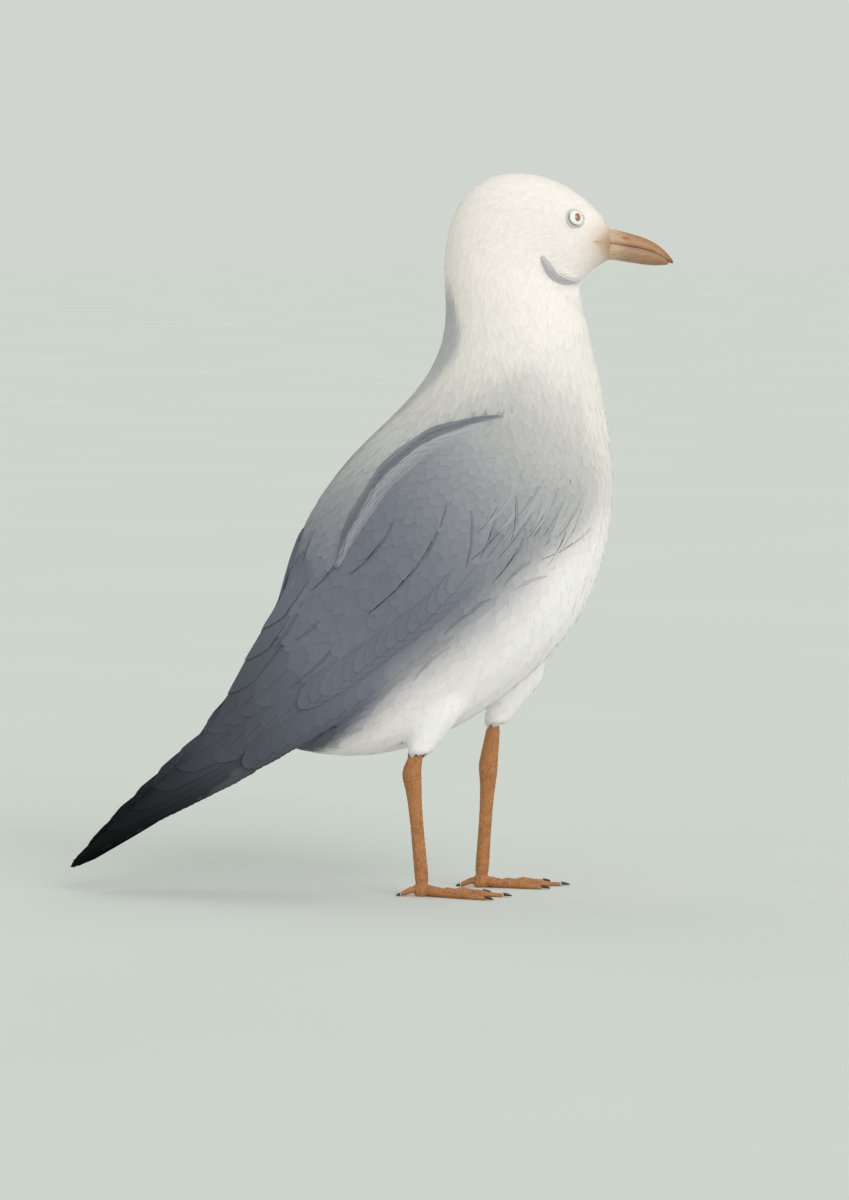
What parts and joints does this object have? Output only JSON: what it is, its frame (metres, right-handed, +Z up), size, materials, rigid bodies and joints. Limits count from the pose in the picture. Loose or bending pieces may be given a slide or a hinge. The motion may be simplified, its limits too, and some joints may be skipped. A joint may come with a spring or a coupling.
{
  "type": "silver gull",
  "caption": "Life-size still model of a silver gull standing upright on both webbed feet, wings folded, bill level, with grey wings and black wing tips.",
  "frame": {"origin": "on the floor, in the bird's middle plane, midway between the tip of the bill and the wing tips", "axes": "+X the way the bill points, +Y the bird's left side, +Z up"},
  "size_m": [0.2519, 0.1012, 0.3022],
  "materials": {
    "white_feathers": "soft matte white plumage",
    "grey_feathers": "matte slate-grey plumage",
    "black_feathers": "satin black flight feathers",
    "bill": "satin orange-brown horn",
    "leg_skin": "scaly orange-brown skin",
    "claw": "dark satin horn",
    "eye": "wet, glossy white iris"
  },
  "bodies": {
    "root": {"head": "white_feathers", "neck": "white_feathers", "trunk": "white_feathers", "tail": "white_feathers", "thigh_left": "white_feathers", "thigh_right": "white_feathers", "wing_left": "grey_feathers", "wing_right": "grey_feathers", "wingtip_left": "black_feathers", "wingtip_right": "black_feathers", "bill_upper": "bill", "bill_lower": "bill", "eye_left": "eye", "eye_right": "eye", "leg_left": "leg_skin", "leg_right": "leg_skin", "foot_left": "leg_skin", "foot_right": "leg_skin", "claw_left_inner": "claw", "claw_left_middle": "claw", "claw_left_outer": "claw", "claw_left_hind": "claw", "claw_right_inner": "claw", "claw_right_middle": "claw", "claw_right_outer": "claw", "claw_right_hind": "claw"}
  },
  "joints": []
}
